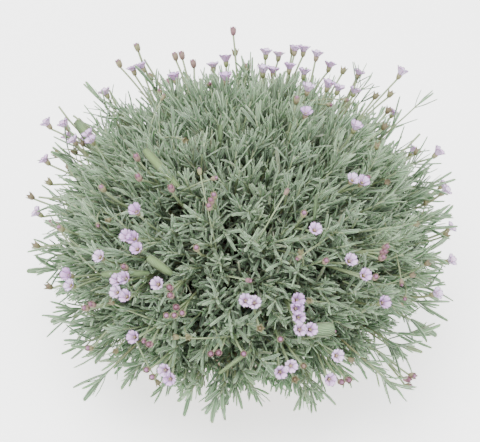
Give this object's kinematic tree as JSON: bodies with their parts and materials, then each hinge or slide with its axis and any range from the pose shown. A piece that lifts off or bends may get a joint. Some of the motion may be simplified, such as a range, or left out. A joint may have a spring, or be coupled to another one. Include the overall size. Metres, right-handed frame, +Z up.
{
  "type": "potted cushion gypsophila",
  "caption": "Dense rounded cushion of narrow grey-green leaves with small pale lilac five-petalled flowers on thin stalks, growing in a plain clay pan.",
  "frame": {"origin": "middle of the pot's flat underside", "axes": "+Z up, -Y towards the viewer of the picture, +X to the right in it"},
  "size_m": [0.2359, 0.2253, 0.1528],
  "materials": {
    "clay": "unglazed terracotta, matte, faintly mottled",
    "soil": "gritty potting soil, matte, crumbly",
    "bark": "grey-brown flaking bark, matte",
    "leaf": "grey-green linear leaves with paler edges, soft satin",
    "petal": "thin pale lilac petals with fine pink veins, soft matte"
  },
  "bodies": {
    "root": {"bloom_01": "petal", "bloom_02": "petal", "bloom_03": "petal", "bloom_04": "petal", "bloom_05": "petal", "bloom_06": "petal", "bloom_07": "petal", "bloom_08": "petal", "bloom_09": "petal", "bloom_10": "petal", "bloom_11": "petal", "bloom_12": "petal", "bloom_13": "petal", "bloom_14": "petal", "bloom_15": "petal", "bloom_16": "petal", "bloom_17": "petal", "bloom_18": "petal", "bloom_19": "petal", "bloom_20": "petal", "bloom_21": "petal", "bloom_22": "petal", "bloom_23": "petal", "bloom_24": "petal", "bloom_25": "petal", "bloom_26": "petal", "bloom_27": "petal", "bloom_28": "petal", "bloom_29": "petal", "bloom_30": "petal", "bloom_31": "petal", "bloom_32": "petal", "bloom_33": "petal", "bloom_34": "petal", "bloom_35": "petal", "bloom_36": "petal", "bloom_37": "petal", "bloom_38": "petal", "bloom_39": "petal", "bloom_40": "petal", "bloom_41": "petal", "bloom_42": "petal", "bloom_43": "petal", "bloom_44": "petal", "bloom_45": "petal", "bloom_46": "petal", "bloom_47": "petal", "crown": "bark", "leafy_sprig_01": "leaf", "leafy_sprig_02": "leaf", "leafy_sprig_03": "leaf", "leafy_sprig_04": "leaf", "leafy_sprig_05": "leaf", "leafy_sprig_06": "leaf", "leafy_sprig_07": "leaf", "leafy_sprig_08": "leaf", "leafy_sprig_09": "leaf", "leafy_sprig_10": "leaf", "pot": "clay", "soil": "soil"}
  },
  "joints": []
}
